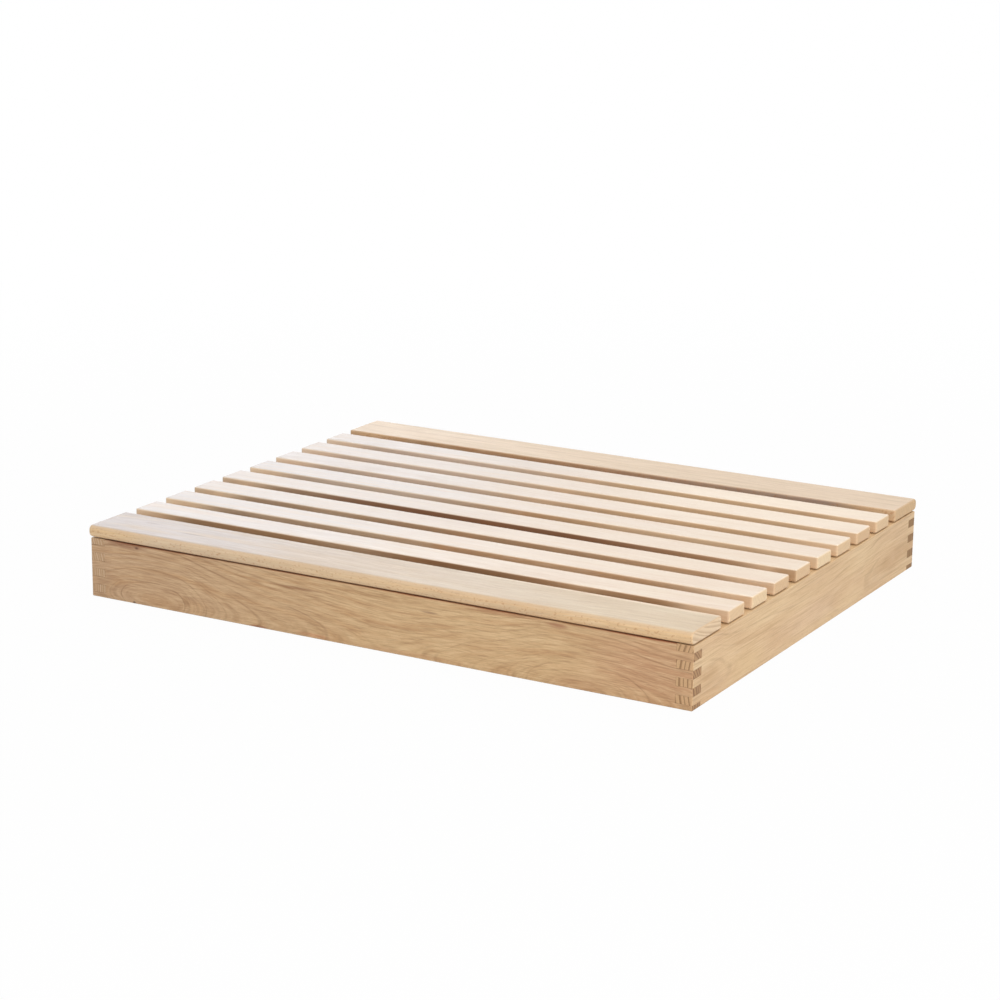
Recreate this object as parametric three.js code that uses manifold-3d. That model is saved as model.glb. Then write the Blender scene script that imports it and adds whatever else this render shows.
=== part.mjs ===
// Bread board: a slatted beech grate that lifts off a finger-jointed crumb tray.
// Millimetres, +Z up. The origin is the middle of the tray's footprint, on the table.
// X runs along the slats, Y from the front edge to the back.
import * as THREE from "three";
import { mergeVertices } from "three/addons/utils/BufferGeometryUtils.js";
import { RoundedBoxGeometry } from "three/addons/geometries/RoundedBoxGeometry.js";
import Module from "manifold-3d";

// Tray
const trayLength = 400;
const trayDepth = 320;
const wallHeight = 36.5;
const wallThickness = 10;
const trayEdgeRadius = 0.6;

// Finger joints, counted down from the top edge of the walls
const topFingerHeight = 4;
const fingerHeight = 4.9;
const glueLine = 0.1;

// Floor panel and the groove that holds it
const baseThickness = 4;
const baseRecess = 3;
const grooveDepth = 5;
const baseEndPlay = 0.5;
const grooveClearance = 0.15;

// Grate
const narrowSlatCount = 8;
const narrowSlatWidth = 20.5;
const wideSlatWidth = 36;
const slatThickness = 7.4;
const slatOverhang = 2;
const slatEdgeRadius = 0.8;
const endEasingShare = 0.8;
const noseShare = 0.42;
const seatGap = 0.6;

// Cleats under the slats, which drop inside the tray and keep the grate in place
const cleatWidth = 15;
const cleatHeight = 10;
const cleatPlay = 1.5;
const cleatEdgeRadius = 0.8;

// Countersunk wood screws, which stop short of the slats' upper faces
const woodOverPoint = 1.7;
const screwShankRadius = 1.5;
const screwHeadRadius = 3;
const screwHeadRim = 0.4;
const screwPointLength = 3;
const screwRecess = 0.3;
const screwClearance = 0.3;

// Overrun of a cutting solid past the faces that it opens
const overrun = 2;

// Facets in a slat's quarter round, in an eased edge and in a full turn
const quarterSegments = 3;
const easedSegments = 2;
const turnSegments = 8;

// Finishes: oiled beech, and zinc-plated steel for the screws
const finishes = {
  longWall: { color: "#c39f75", roughness: 0.6, metalness: 0 },
  endWall: { color: "#cba97f", roughness: 0.6, metalness: 0 },
  plywood: { color: "#d8bd93", roughness: 0.65, metalness: 0 },
  wideSlat: { color: "#e6d6bf", roughness: 0.55, metalness: 0 },
  narrowSlat: { color: "#f0e2cf", roughness: 0.55, metalness: 0 },
  cleat: { color: "#d9bf99", roughness: 0.65, metalness: 0 },
  screw: { color: "#a9abae", roughness: 0.35, metalness: 1 },
};

// Sizes that follow from the ones above
const innerLength = trayLength - 2 * wallThickness;
const innerDepth = trayDepth - 2 * wallThickness;
const grooveInset = wallThickness - grooveDepth;
const grateDepth = trayDepth + 2 * slatOverhang;
const slatLength = trayLength;
const slatEndEasing = slatEdgeRadius * endEasingShare;
const noseRadius = slatThickness * noseShare;
const slatBottom = wallHeight + seatGap;
const slatsTotalWidth = 2 * wideSlatWidth + narrowSlatCount * narrowSlatWidth;
const slatGap = (grateDepth - slatsTotalWidth) / (narrowSlatCount + 1);
const slatPitch = narrowSlatWidth + slatGap;
const cleatLength = innerDepth - 2 * cleatPlay;
const cleatInset = innerLength / 2 - cleatPlay - cleatWidth / 2;
const cleatBottom = slatBottom - cleatHeight;
const screwBottom = cleatBottom + screwRecess;
const screwLength = slatBottom + slatThickness - woodOverPoint - screwBottom;
const screwConeEnd = screwHeadRim + screwHeadRadius - screwShankRadius;

const wasm = await Module();
wasm.setup();

// A closed geometry as a solid that can be cut and joined.
function toSolid(geometry) {
  const bare = geometry.clone();
  bare.deleteAttribute("normal");
  bare.deleteAttribute("uv");
  const merged = mergeVertices(bare);
  return new wasm.Manifold(
    new wasm.Mesh({
      numProp: 3,
      vertProperties: merged.getAttribute("position").array,
      triVerts: new Uint32Array(merged.getIndex().array),
    }),
  );
}

function toGeometry(solid) {
  const { vertProperties, triVerts } = solid.getMesh();
  const geometry = new THREE.BufferGeometry();
  geometry.setAttribute("position", new THREE.BufferAttribute(vertProperties, 3));
  geometry.setIndex(new THREE.BufferAttribute(triVerts, 1));
  geometry.computeVertexNormals();
  return geometry;
}

function piece(name, geometry, finish) {
  const mesh = new THREE.Mesh(geometry, new THREE.MeshStandardMaterial(finish));
  mesh.name = name;
  return mesh;
}

// Turns a section drawn in X and Y, and extruded along Z, so that it is drawn in Y and Z and runs along X.
function layAlongX(geometry, length) {
  const turn = new THREE.Matrix4().makeBasis(
    new THREE.Vector3(0, 1, 0),
    new THREE.Vector3(0, 0, 1),
    new THREE.Vector3(1, 0, 0),
  );
  return geometry.translate(0, 0, -length / 2).applyMatrix4(turn);
}

// Tray walls

// Heights at which one finger ends and the next begins, from the top edge down to the table.
function fingerLines() {
  const lines = [wallHeight];
  for (let z = wallHeight - topFingerHeight; z > 0; z -= fingerHeight) {
    lines.push(z);
  }
  lines.push(0);
  return lines;
}

// Outline of one wall, seen square on: alternate fingers stand out at both ends, and run past the
// outside of the tray so that the planed envelope trims them flush.
function combOutline(length, hasTopFinger) {
  const lines = fingerLines();
  const fingerEnd = length / 2 + overrun;
  const shoulder = length / 2 - wallThickness - glueLine;
  const edge = [];
  lines.slice(1).forEach((bottomLine, index) => {
    const isFinger = (index % 2 === 0) === hasTopFinger;
    const trim = isFinger ? glueLine / 2 : -glueLine / 2;
    const isTop = index === 0;
    const isBottom = index === lines.length - 2;
    const top = isTop ? wallHeight + overrun : lines[index] - trim;
    const bottom = isBottom ? -overrun : bottomLine + trim;
    const x = isFinger ? fingerEnd : shoulder;
    edge.push(new THREE.Vector2(x, top), new THREE.Vector2(x, bottom));
  });
  const mirrored = edge.map((point) => new THREE.Vector2(-point.x, point.y)).reverse();
  return new THREE.Shape([...edge, ...mirrored]);
}

// The outside of the glued-up tray, planed flush and with its edges eased.
function trayEnvelope(length, depth) {
  const block = new RoundedBoxGeometry(length, depth, wallHeight, easedSegments, trayEdgeRadius);
  return toSolid(block.translate(0, 0, wallHeight / 2));
}

// The stopped groove: a flat pocket that reaches part of the way into every wall.
function groovePocket(length, depth) {
  const height = baseThickness + 2 * grooveClearance;
  const pocket = new THREE.BoxGeometry(length - 2 * grooveInset, depth - 2 * grooveInset, height);
  return toSolid(pocket.translate(0, 0, baseRecess + baseThickness / 2));
}

// One wall of a tray that is length along X and depth along Y. It stands at the -Y side.
function wallGeometry(length, depth, hasTopFinger) {
  const stock = new THREE.ExtrudeGeometry(combOutline(length, hasTopFinger), {
    depth: wallThickness + overrun,
    bevelEnabled: false,
  });
  stock.rotateX(Math.PI / 2).translate(0, wallThickness - depth / 2, 0);
  const planed = toSolid(stock).intersect(trayEnvelope(length, depth));
  return toGeometry(planed.subtract(groovePocket(length, depth)));
}

// The long walls and the end walls are two boards, each used twice and turned to its side of the tray.
function makeWalls() {
  const longBoard = wallGeometry(trayLength, trayDepth, false);
  const endBoard = wallGeometry(trayDepth, trayLength, true);
  const walls = [
    piece("front_wall", longBoard, finishes.longWall),
    piece("right_wall", endBoard, finishes.endWall),
    piece("back_wall", longBoard, finishes.longWall),
    piece("left_wall", endBoard, finishes.endWall),
  ];
  walls.forEach((wall, quarterTurns) => {
    wall.rotation.z = (quarterTurns * Math.PI) / 2;
  });
  return walls;
}

function makeCrumbBase() {
  const inset = grooveInset + baseEndPlay;
  const panel = new THREE.BoxGeometry(trayLength - 2 * inset, trayDepth - 2 * inset, baseThickness);
  const base = piece("crumb_base", panel, finishes.plywood);
  base.position.z = baseRecess + baseThickness / 2;
  return base;
}

// Screws and their holes

// A solid of revolution that stands on z = 0, from its half section as pairs of radius and height.
function turned(halfSection) {
  const profile = halfSection.map(([radius, height]) => new THREE.Vector2(radius, height));
  return new THREE.LatheGeometry(profile, turnSegments).rotateX(Math.PI / 2);
}

// A screw that points up from the middle of its head.
function screwGeometry() {
  return turned([
    [0, 0],
    [screwHeadRadius, 0],
    [screwHeadRadius, screwHeadRim],
    [screwShankRadius, screwConeEnd],
    [screwShankRadius, screwLength - screwPointLength],
    [0, screwLength],
  ]);
}

// The hole that it needs: countersunk and open below its head, and blind past its point.
function screwHole(x, y, z) {
  const shank = screwShankRadius + screwClearance;
  const head = screwHeadRadius + screwClearance;
  const blindEnd = screwLength + screwClearance;
  const hole = turned([
    [0, -overrun],
    [head, -overrun],
    [head, screwHeadRim],
    [shank, screwConeEnd],
    [shank, blindEnd],
    [0, blindEnd],
  ]);
  return toSolid(hole.translate(x, y, z));
}

// Slats

// Section of a slat: length along Y, height along Z, with its own radius on the outer (-Y) long edges.
function slatSection(width, outerRadius) {
  const y = width / 2;
  const r = slatEdgeRadius;
  const section = new THREE.Shape();
  section.moveTo(outerRadius - y, 0);
  section.lineTo(y - r, 0);
  section.absarc(y - r, r, r, -Math.PI / 2, 0);
  section.lineTo(y, slatThickness - r);
  section.absarc(y - r, slatThickness - r, r, 0, Math.PI / 2);
  section.lineTo(outerRadius - y, slatThickness);
  section.absarc(outerRadius - y, slatThickness - outerRadius, outerRadius, Math.PI / 2, Math.PI);
  section.lineTo(-y, outerRadius);
  section.absarc(outerRadius - y, outerRadius, outerRadius, Math.PI, 1.5 * Math.PI);
  return section;
}

// A slat lying on z = 0 with eased ends, drilled from below at each cleat.
function slatGeometry(width, outerRadius, drillY) {
  const barLength = slatLength - 2 * slatEndEasing;
  const bar = new THREE.ExtrudeGeometry(slatSection(width, outerRadius), {
    depth: barLength,
    curveSegments: quarterSegments,
    bevelEnabled: true,
    bevelThickness: slatEndEasing,
    bevelSize: slatEndEasing,
    bevelOffset: -slatEndEasing,
    bevelSegments: easedSegments,
  });
  const holes = cleatPlaces().map(({ x }) => screwHole(x, drillY, screwBottom - slatBottom));
  return toGeometry(holes.reduce((slat, hole) => slat.subtract(hole), toSolid(layAlongX(bar, barLength))));
}

// Middle of each slat, and of the screw in it, from the front to the back.
function slatPlaces() {
  const firstY = -((narrowSlatCount - 1) / 2) * slatPitch;
  const narrow = Array.from({ length: narrowSlatCount }, (_, index) => {
    const y = firstY + index * slatPitch;
    return { name: `slat_${index + 1}`, y, screwY: y };
  });
  const wideY = (grateDepth - wideSlatWidth) / 2;
  const wideInnerEdge = grateDepth / 2 - wideSlatWidth;
  const wideScrewY = (wideInnerEdge + cleatLength / 2) / 2;
  const front = { name: "front_slat", y: -wideY, screwY: -wideScrewY, isWide: true };
  const back = { name: "back_slat", y: wideY, screwY: wideScrewY, isWide: true, turned: true };
  return [front, ...narrow, back];
}

function makeSlats() {
  return slatPlaces().map(({ name, y, screwY, isWide, turned }) => {
    const width = isWide ? wideSlatWidth : narrowSlatWidth;
    const outerRadius = isWide ? noseRadius : slatEdgeRadius;
    const drillY = turned ? y - screwY : screwY - y;
    const finish = isWide ? finishes.wideSlat : finishes.narrowSlat;
    const slat = piece(name, slatGeometry(width, outerRadius, drillY), finish);
    slat.rotation.z = turned ? Math.PI : 0;
    slat.position.set(0, y, slatBottom);
    return slat;
  });
}

// Cleats

function cleatPlaces() {
  return [
    { name: "left_cleat", x: -cleatInset },
    { name: "middle_cleat", x: 0 },
    { name: "right_cleat", x: cleatInset },
  ];
}

function cleatSection() {
  const x = cleatWidth / 2;
  const r = cleatEdgeRadius;
  return new THREE.Shape([
    new THREE.Vector2(-x, cleatHeight),
    new THREE.Vector2(-x, r),
    new THREE.Vector2(r - x, 0),
    new THREE.Vector2(x - r, 0),
    new THREE.Vector2(x, r),
    new THREE.Vector2(x, cleatHeight),
  ]);
}

// A cleat with its lower edges chamfered, bored and countersunk for one screw a slat.
function cleatGeometry() {
  const bar = new THREE.ExtrudeGeometry(cleatSection(), { depth: cleatLength, bevelEnabled: false });
  bar.rotateX(Math.PI / 2).translate(0, cleatLength / 2, 0);
  const holes = slatPlaces().map(({ screwY }) => screwHole(0, screwY, screwRecess));
  return toGeometry(holes.reduce((cleat, hole) => cleat.subtract(hole), toSolid(bar)));
}

function makeCleats() {
  const geometry = cleatGeometry();
  return cleatPlaces().map(({ name, x }) => {
    const cleat = piece(name, geometry, finishes.cleat);
    cleat.position.set(x, 0, cleatBottom);
    return cleat;
  });
}

function makeScrews() {
  const geometry = screwGeometry();
  return cleatPlaces().flatMap(({ name, x }) =>
    slatPlaces().map(({ screwY }, index) => {
      const screw = piece(`${name}_screw_${index + 1}`, geometry, finishes.screw);
      screw.position.set(x, screwY, screwBottom);
      return screw;
    }),
  );
}

const tray = new THREE.Group().add(...makeWalls(), makeCrumbBase());
const grate = new THREE.Group().add(...makeSlats(), ...makeCleats(), ...makeScrews());
const breadBoard = new THREE.Group().add(tray, grate);

export default breadBoard;
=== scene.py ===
"""Bread board, dressed: a slatted beech grate that lifts off a finger-jointed crumb tray.

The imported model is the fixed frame, and each piece here stands on the box of its own CAD nodes.
Meshes are worked in millimetres, and become metres when they are finished.
"""

import functools
import math

import bpy
from mathutils import Matrix, Vector


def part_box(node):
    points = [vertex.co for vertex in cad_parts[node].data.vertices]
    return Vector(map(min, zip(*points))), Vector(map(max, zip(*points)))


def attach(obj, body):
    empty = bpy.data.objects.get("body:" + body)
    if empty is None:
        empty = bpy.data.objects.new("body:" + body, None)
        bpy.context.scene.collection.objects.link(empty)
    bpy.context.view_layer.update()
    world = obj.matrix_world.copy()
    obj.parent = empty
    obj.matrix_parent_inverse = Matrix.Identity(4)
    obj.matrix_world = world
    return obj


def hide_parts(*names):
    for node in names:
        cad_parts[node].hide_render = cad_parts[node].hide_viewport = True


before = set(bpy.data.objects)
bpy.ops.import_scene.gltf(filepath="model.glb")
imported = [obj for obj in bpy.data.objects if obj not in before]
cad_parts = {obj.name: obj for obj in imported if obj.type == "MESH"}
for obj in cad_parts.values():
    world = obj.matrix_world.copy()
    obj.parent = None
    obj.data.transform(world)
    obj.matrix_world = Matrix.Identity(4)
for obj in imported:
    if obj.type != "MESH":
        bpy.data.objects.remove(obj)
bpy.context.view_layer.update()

MM = 0.001
SHARP_ANGLE = math.radians(40)


def box_mm(node):
    """Lowest and highest corner of a CAD node, in millimetres."""
    lowest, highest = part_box(node)
    return lowest / MM, highest / MM


# Sizes read from the frame, and the few that its boxes don't tell

TRAY_LO, TRAY_HI = box_mm("front_wall")[0], box_mm("back_wall")[1]
TRAY_LENGTH = TRAY_HI.x - TRAY_LO.x
TRAY_DEPTH = TRAY_HI.y - TRAY_LO.y
WALL_HEIGHT = TRAY_HI.z
BASE_LO, BASE_HI = box_mm("crumb_base")
WALL_THICKNESS = 10.0
TRAY_EDGE_RADIUS, TRAY_EDGE_SEGMENTS = 0.6, 5
TOP_FINGER = 4.0
FINGER_PITCH = 4.9
GLUE_LINE = 0.1
NOTCHES = 4
GROOVE_INSET = 5.0
GROOVE_CLEARANCE = 0.15

FRONT_LO, FRONT_HI = box_mm("front_slat")
SLAT_BOTTOM, SLAT_TOP = FRONT_LO.z, FRONT_HI.z
SLAT_EDGE_RADIUS = 1.0
# The rounding of the slats' ends along the slat, its share across, and the radius that stays there
SLAT_END_EASING, SLAT_END_SHARE, SLAT_END_RADIUS = 1.3, 0.9, 0.12
QUARTER_STEPS = 6
NOSE_RADIUS = 3.1
# The narrow slats are drawn shorter, so that their play stays inside the CAD box
NARROW_SLAT_SHORTER = 0.4
NARROW_SLAT_PLAY = {"End play": 0.15, "Turn": math.radians(0.02)}
NARROW_SLATS = ["slat_%d" % number for number in range(1, 9)]
SLAT_MIDDLES = [sum(corner.y for corner in box_mm(slat)) / 2 for slat in NARROW_SLATS]
SLAT_WIDTH = box_mm("slat_1")[1].y - box_mm("slat_1")[0].y
SLAT_FRONTS = [middle - SLAT_WIDTH / 2 for middle in SLAT_MIDDLES]

CLEATS = ["left_cleat", "middle_cleat", "right_cleat"]
CLEAT_LO, CLEAT_HI = box_mm("left_cleat")
CLEAT_SPACING = box_mm("middle_cleat")[0].x - CLEAT_LO.x
CLEAT_EDGE_RADIUS, CLEAT_EDGE_SEGMENTS = 0.8, 4
SCREWS = ["%s_screw_%d" % (cleat, number) for cleat in CLEATS for number in range(1, 11)]
SCREW_BOTTOM = box_mm("left_cleat_screw_1")[0].z
SCREW_LENGTH = box_mm("left_cleat_screw_1")[1].z - SCREW_BOTTOM
SCREW_HEAD_RADIUS = 3.0
SCREW_HEAD_RIM = 0.4
SCREW_SHANK_RADIUS = 1.5
SCREW_CLEARANCE = 0.3
SCREW_RECESS = {"Recess length": 3.4, "Recess width": 0.8, "Recess depth": 1.3}


# Nodes and colours


def linear(code):
    """An sRGB hex colour as linear RGBA."""
    channels = [int(code[place : place + 2], 16) / 255 for place in (1, 3, 5)]
    return tuple(c / 12.92 if c <= 0.04045 else ((c + 0.055) / 1.055) ** 2.4 for c in channels) + (1.0,)


def add_node(tree, kind, settings, feeds):
    """Adds a node. settings are its own options. feeds are values, or nodes and sockets to link: a list
    in the order of the node's sockets in use, or a dictionary by their names or places."""
    node = tree.nodes.new(kind)
    for option, value in settings.items():
        setattr(node, option, value)
    sockets = [socket for socket in node.inputs if socket.enabled]
    for key, feed in feeds.items() if isinstance(feeds, dict) else enumerate(feeds):
        socket = sockets[key] if isinstance(key, int) else next(s for s in sockets if s.name == key)
        if isinstance(feed, bpy.types.Node):
            feed = next(output for output in feed.outputs if output.enabled)
        if isinstance(feed, bpy.types.NodeSocket):
            tree.links.new(feed, socket)
        else:
            socket.default_value = feed
    return node


# The kinds of node used most, and the options that many of them share
MATH, VECTOR_MATH, MAP_RANGE = "ShaderNodeMath", "ShaderNodeVectorMath", "ShaderNodeMapRange"
COMBINE, SEPARATE = "ShaderNodeCombineXYZ", "ShaderNodeSeparateXYZ"
NOISE, MIX = "ShaderNodeTexNoise", "ShaderNodeMix"
CUBE, INSTANCES, REAL = "GeometryNodeMeshCube", "GeometryNodeInstanceOnPoints", "GeometryNodeRealizeInstances"
ADD, SUBTRACT, MULTIPLY, DIVIDE, MULTIPLY_ADD, MAXIMUM, ABSOLUTE, LENGTH, SCALE = (
    {"operation": name} for name in (
        "ADD", "SUBTRACT", "MULTIPLY", "DIVIDE", "MULTIPLY_ADD", "MAXIMUM", "ABSOLUTE", "LENGTH", "SCALE")
)
CUT = {"operation": "DIFFERENCE", "solver": "EXACT"}
EVENLY = {"mode": "OFFSET", "count_mode": "TOTAL"}
COLOURS = {"data_type": "RGBA"}
SMOOTH = {"interpolation_type": "SMOOTHSTEP"}
ONE_WAY = {"noise_dimensions": "1D"}
NUMBERS = {"data_type": "FLOAT"}


def geometry_tree(name, **inputs):
    """A Geometry Nodes tree with named inputs, given as the names for each kind of socket."""
    tree = bpy.data.node_groups.new(name, "GeometryNodeTree")
    tree.interface.new_socket("Geometry", in_out="OUTPUT", socket_type="NodeSocketGeometry")
    for kind, labels in inputs.items():
        for label in labels:
            tree.interface.new_socket(label, in_out="INPUT", socket_type="NodeSocket" + kind)
    add = functools.partial(add_node, tree)
    return tree, add, add("NodeGroupInput", {}, {}).outputs


def end_tree(add, geometry, material):
    """Ends a tree: its instances become one mesh with one finish."""
    real = add(REAL, {}, [geometry])
    finished = add("GeometryNodeSetMaterial", {}, {0: real, "Material": material})
    add("NodeGroupOutput", {}, [finished])


# Shapes


def rounded_block_tree():
    """A block with all its edges rounded: a cube's grid of points, drawn out to the corners."""
    tree, add, given = geometry_tree("rounded_block", Vector=["Size"], Float=["Radius"], Int=["Segments"])
    doubled = add(MATH, MULTIPLY, [given["Segments"], 2.0])
    points = add(MATH, ADD, [doubled, 2.0])
    spans = add(MATH, ADD, [doubled, 1.0])
    flat = add(MATH, DIVIDE, [1.0, spans])
    cube = add(CUBE, {}, {
        "Size": (2, 2, 2), "Vertices X": points, "Vertices Y": points, "Vertices Z": points,
    })
    place = add("GeometryNodeInputPosition", {}, {})
    side = add(VECTOR_MATH, {"operation": "SIGN"}, [place])
    reach = add(VECTOR_MATH, ABSOLUTE, [place])
    beyond = add(VECTOR_MATH, SUBTRACT, [reach, flat])
    bend = add(VECTOR_MATH, MAXIMUM, [beyond, (0, 0, 0)])
    outward = add(VECTOR_MATH, {"operation": "NORMALIZE"}, [bend])
    swell = add(VECTOR_MATH, SCALE, {0: outward, "Scale": given["Radius"]})
    half = add(VECTOR_MATH, SCALE, {0: given["Size"], "Scale": 0.5})
    core = add(VECTOR_MATH, SUBTRACT, [half, given["Radius"]])
    corner = add(VECTOR_MATH, ADD, [core, swell])
    moved = add(VECTOR_MATH, MULTIPLY, [corner, side])
    block = add("GeometryNodeSetPosition", {}, {0: cube, "Position": moved})
    add("NodeGroupOutput", {}, [block])
    return tree


def finger_jointed_tree(rounded_block):
    """One wall of the tray, at its -Y side: the planed outside, cut off behind, notched at both ends
    for the other board's fingers, and grooved for the floor panel."""
    tree, add, given = geometry_tree(
        "finger_jointed_board",
        Float=["Length", "Depth", "Height", "Thickness", "Edge radius", "First notch", "Finger pitch",
               "Glue line", "Groove inset", "Groove middle", "Groove height"], Material=["Material"],
    )
    length, depth = given["Length"], given["Depth"]
    glue_line, pitch = given["Glue line"], given["Finger pitch"]
    outside = add(COMBINE, {}, [length, depth, given["Height"]])
    envelope = add("GeometryNodeGroup", {"node_tree": rounded_block}, {
        "Size": outside, "Radius": given["Edge radius"], "Segments": TRAY_EDGE_SEGMENTS,
    })
    half_height = add(MATH, MULTIPLY, [given["Height"], 0.5])
    up = add(COMBINE, {}, {2: half_height})
    planed = add("GeometryNodeTransform", {}, {0: envelope, "Translation": up})

    half_depth = add(MATH, MULTIPLY, [depth, -0.5])
    inner_face = add(MATH, ADD, [half_depth, given["Thickness"]])
    cut_middle = add(MATH, ADD, [inner_face, depth])
    wider = add(VECTOR_MATH, SCALE, {0: outside, "Scale": 2.0})
    behind = add(CUBE, {}, {"Size": wider})
    cut_place = add(COMBINE, {}, {1: cut_middle})
    cutters = [add("GeometryNodeTransform", {}, {0: behind, "Translation": cut_place})]

    half_length = add(MATH, MULTIPLY, [length, 0.5])
    notch_reach = add(MATH, ADD, [given["Thickness"], glue_line])
    notch_length = add(MATH, MULTIPLY, [notch_reach, 2.0])
    notch_height = add(MATH, ADD, [pitch, glue_line])
    notch_size = add(COMBINE, {}, [notch_length, depth, notch_height])
    notch = add(CUBE, {}, {"Size": notch_size})
    two_fingers = add(MATH, MULTIPLY, [pitch, -2.0])
    next_notch = add(COMBINE, {}, {2: two_fingers})
    for end in (-1.0, 1.0):
        x = add(MATH, MULTIPLY, [half_length, end])
        first = add(COMBINE, {}, [x, half_depth, given["First notch"]])
        row = add("GeometryNodeMeshLine", EVENLY, {
            "Count": NOTCHES, "Start Location": first, "Offset": next_notch,
        })
        notches = add(INSTANCES, {}, {"Points": row, "Instance": notch})
        cutters.append(add(REAL, {}, [notches]))

    inset = add(MATH, MULTIPLY, [given["Groove inset"], -2.0])
    pocket_length = add(MATH, ADD, [length, inset])
    pocket_depth = add(MATH, ADD, [depth, inset])
    pocket_size = add(COMBINE, {}, [pocket_length, pocket_depth, given["Groove height"]])
    pocket = add(CUBE, {}, {"Size": pocket_size})
    groove_place = add(COMBINE, {}, {2: given["Groove middle"]})
    cutters.append(add("GeometryNodeTransform", {}, {0: pocket, "Translation": groove_place}))
    board = planed
    for cutter in cutters:
        board = add("GeometryNodeMeshBoolean", CUT, {"Mesh 1": board, "Mesh 2": cutter})
    end_tree(add, board, given["Material"])
    return tree


def slat_row_tree():
    """Copies of one slat at its pitch, each a hair off its neighbours, with its own number and its own
    place across the grate."""
    tree, add, given = geometry_tree(
        "slat_row", Geometry=["Slat"], Int=["Count", "Seed"], Vector=["First", "Pitch"],
        Float=["End play", "Turn"], Material=["Material"],
    )
    row = add("GeometryNodeMeshLine", EVENLY, {
        "Count": given["Count"], "Start Location": given["First"], "Offset": given["Pitch"],
    })
    number = add("GeometryNodeInputIndex", {}, {})
    strays = []
    for most, seed_step in ((given["End play"], 0.0), (given["Turn"], 1.0)):
        least = add(MATH, MULTIPLY, [most, -1.0])
        seed = add(MATH, ADD, [given["Seed"], seed_step])
        strays.append(add("FunctionNodeRandomValue", NUMBERS, {
            "Min": least, "Max": most, "ID": number, "Seed": seed,
        }))
    play, turn = strays
    slid = add(COMBINE, {}, [play])
    known = add("GeometryNodeSetPosition", {}, {0: row, "Offset": slid})
    middle = add("GeometryNodeInputPosition", {}, {})
    parts = add(SEPARATE, {}, [middle])
    for label, value in (("slat_number", number), ("slat_middle", parts.outputs["Y"])):
        known = add("GeometryNodeStoreNamedAttribute", NUMBERS, {0: known, "Name": label, "Value": value})
    angles = add(COMBINE, {}, {2: turn})
    slats = add(INSTANCES, {}, {"Points": known, "Instance": given["Slat"], "Rotation": angles})
    end_tree(add, slats, given["Material"])
    return tree


def cleats_tree(rounded_block):
    """Eased battens, bored and countersunk from below at every screw place, which are the points of
    the mesh that the tree starts from."""
    tree, add, given = geometry_tree(
        "cleats", Geometry=["Screw places"], Int=["Count"], Vector=["Size", "First", "Spacing"],
        Float=["Edge radius", "Head radius", "Shank radius", "Countersink"], Material=["Material"],
    )
    block = add("GeometryNodeGroup", {"node_tree": rounded_block}, {
        "Size": given["Size"], "Radius": given["Edge radius"], "Segments": CLEAT_EDGE_SEGMENTS,
    })
    places = add("GeometryNodeMeshLine", EVENLY, {
        "Count": given["Count"], "Start Location": given["First"], "Offset": given["Spacing"],
    })
    blocks = add(INSTANCES, {}, {"Points": places, "Instance": block})
    cleats = add(REAL, {}, [blocks])
    facets, bore_depth, mouth_depth = 24, 40.0, 2.0
    bore = add("GeometryNodeMeshCylinder", {}, {
        "Vertices": facets, "Radius": given["Shank radius"], "Depth": bore_depth,
    })
    sink = add("GeometryNodeMeshCone", {}, {
        "Vertices": facets, "Radius Top": given["Shank radius"], "Radius Bottom": given["Head radius"],
        "Depth": given["Countersink"],
    })
    mouth = add("GeometryNodeMeshCylinder", {}, {
        "Vertices": facets, "Radius": given["Head radius"], "Depth": mouth_depth,
    })
    for shape, height in ((bore, 0), (sink, SCREW_HEAD_RIM), (mouth, SCREW_HEAD_RIM - mouth_depth / 2)):
        raised = add("GeometryNodeTransform", {}, {0: shape, "Translation": (0, 0, height)})
        holes = add(INSTANCES, {}, {"Points": given["Screw places"], "Instance": raised})
        cutter = add(REAL, {}, [holes])
        cleats = add("GeometryNodeMeshBoolean", CUT, {"Mesh 1": cleats, "Mesh 2": cutter})
    end_tree(add, cleats, given["Material"])
    return tree


def screws_tree():
    """Copies of one screw on the screw places, each stopped at its own turn, with a cross recess."""
    tree, add, given = geometry_tree(
        "screws", Geometry=["Screw places"], Object=["Screw"],
        Float=["Recess length", "Recess width", "Recess depth"], Int=["Seed"], Material=["Material"],
    )
    screw = add("GeometryNodeObjectInfo", {"transform_space": "ORIGINAL"}, {"Object": given["Screw"]})
    shape = screw.outputs["Geometry"]
    deep = add(MATH, MULTIPLY, [given["Recess depth"], 2.0])
    for first, second in (("Recess length", "Recess width"), ("Recess width", "Recess length")):
        size = add(COMBINE, {}, [given[first], given[second], deep])
        blade = add(CUBE, {}, {"Size": size})
        shape = add("GeometryNodeMeshBoolean", CUT, {"Mesh 1": shape, "Mesh 2": blade})
    turn = add("FunctionNodeRandomValue", NUMBERS, {
        "Min": 0.0, "Max": math.pi, "Seed": given["Seed"],
    })
    angles = add(COMBINE, {}, {2: turn})
    screws = add(INSTANCES, {}, {"Points": given["Screw places"], "Instance": shape, "Rotation": angles})
    end_tree(add, screws, given["Material"])
    return tree


def in_scene(name, data):
    """A new object, linked to the scene."""
    thing = bpy.data.objects.new(name, data)
    bpy.context.scene.collection.objects.link(thing)
    return thing


def finished(name, mesh, body, nodes, slot):
    """A finished piece at the origin: metres, flat faces that stay flat beside rounded edges, and the
    CAD body and nodes that it stands for. slot is not used."""
    mesh.name = name
    mesh.transform(Matrix.Scale(MM, 4))
    mesh.polygons.foreach_set("use_smooth", [True] * len(mesh.polygons))
    mesh.set_sharp_from_angle(angle=SHARP_ANGLE)
    piece = in_scene(name, mesh)
    weighted = piece.modifiers.new("weighted", "WEIGHTED_NORMAL")
    weighted.keep_sharp = True
    plain(piece)
    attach(piece, body)
    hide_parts(*nodes)


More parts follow.
